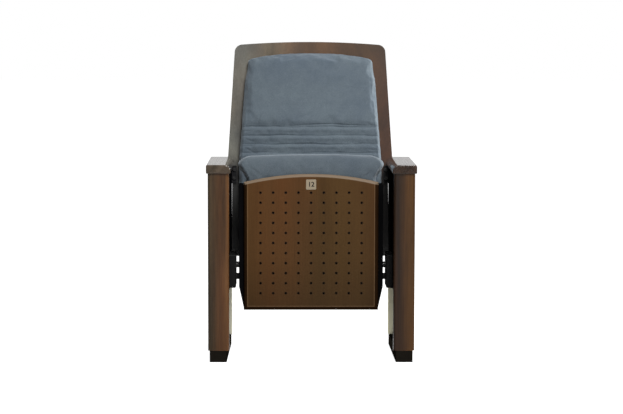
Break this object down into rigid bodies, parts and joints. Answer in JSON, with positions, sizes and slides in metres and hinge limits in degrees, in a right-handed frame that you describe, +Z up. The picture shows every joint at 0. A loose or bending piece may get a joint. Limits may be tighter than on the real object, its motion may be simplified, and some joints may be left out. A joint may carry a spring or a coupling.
{
  "type": "tip-up auditorium seat",
  "caption": "Fixed auditorium seat: wooden side standards with armrests, a spring-return tip-up seat with a perforated pan, and a leaning upholstered back.",
  "frame": {"origin": "on the floor, at the centre of the four floor anchor holes", "axes": "+Z up; the sitter faces -Y; +X is to the viewer's right when looking at the front"},
  "size_m": [0.656, 0.501, 0.9954],
  "materials": {
    "walnut": "satin",
    "dark_lacquered_wood": "gloss",
    "seat_fabric": "matte",
    "foam": "matte",
    "black_felt": "matte",
    "black_plastic": "matte",
    "black_nylon": "satin",
    "nylon": "satin",
    "light_grey_plastic": "satin",
    "light_plaque": "gloss",
    "birch_board": "matte",
    "black_steel": "satin",
    "black_foot_paint": "satin",
    "grey_steel": "satin",
    "zinc_steel": "satin",
    "zinc_screws": "satin",
    "black_bolts": "satin",
    "black_pin_steel": "satin",
    "spring_steel": "satin",
    "black_rubber": "matte"
  },
  "bodies": {
    "frame": {"armrest_cap_left": "dark_lacquered_wood", "armrest_cap_right": "dark_lacquered_wood", "armrest_screws": "zinc_screws", "back_board": "birch_board", "back_bolts": "black_bolts", "back_bracket_left": "black_steel", "back_bracket_right": "black_steel", "back_cushion": "seat_fabric", "back_inserts": "zinc_screws", "back_shell": "walnut", "base_plate_left": "zinc_steel", "base_plate_right": "zinc_steel", "bracket_bolts": "black_bolts", "foot_shroud_left": "black_foot_paint", "foot_shroud_right": "black_foot_paint", "front_post_left": "walnut", "front_post_right": "walnut", "hinge_bush_left": "nylon", "hinge_bush_right": "nylon", "hinge_housing_left": "black_nylon", "hinge_housing_right": "black_nylon", "housing_screws": "black_bolts", "inner_cover_left": "black_plastic", "inner_cover_right": "black_plastic", "leg_cover_left": "light_grey_plastic", "leg_cover_right": "light_grey_plastic", "leg_frame_left": "grey_steel", "leg_frame_right": "grey_steel", "lower_cover_left": "black_plastic", "lower_cover_right": "black_plastic", "return_spring_left": "spring_steel", "return_spring_right": "spring_steel", "side_panel_left": "walnut", "side_panel_right": "walnut"},
    "seat": {"acoustic_felt": "black_felt", "foam_core": "foam", "hinge_arm_left": "black_steel", "hinge_arm_right": "black_steel", "pan_screws": "zinc_screws", "pivot_pin_left": "black_pin_steel", "pivot_pin_right": "black_pin_steel", "plaque": "light_plaque", "seat_cushion": "seat_fabric", "seat_frame": "grey_steel", "seat_pan": "walnut", "seat_tray": "black_plastic", "spring_collar_left": "zinc_steel", "spring_collar_right": "zinc_steel", "stop_pin_left": "black_pin_steel", "stop_pin_right": "black_pin_steel", "stop_sleeve_left": "black_rubber", "stop_sleeve_right": "black_rubber"}
  },
  "joints": [
    {"name": "seat_tip", "type": "hinge", "parent": "frame", "child": "seat", "pos_m": [0, -0.047, 0.292], "axis": [1, 0, 0], "range_deg": [0, 86], "stiffness_Nm_per_rad": 4, "springref_deg": -77.35, "deforming": ["return_spring_left", "return_spring_right"]}
  ]
}
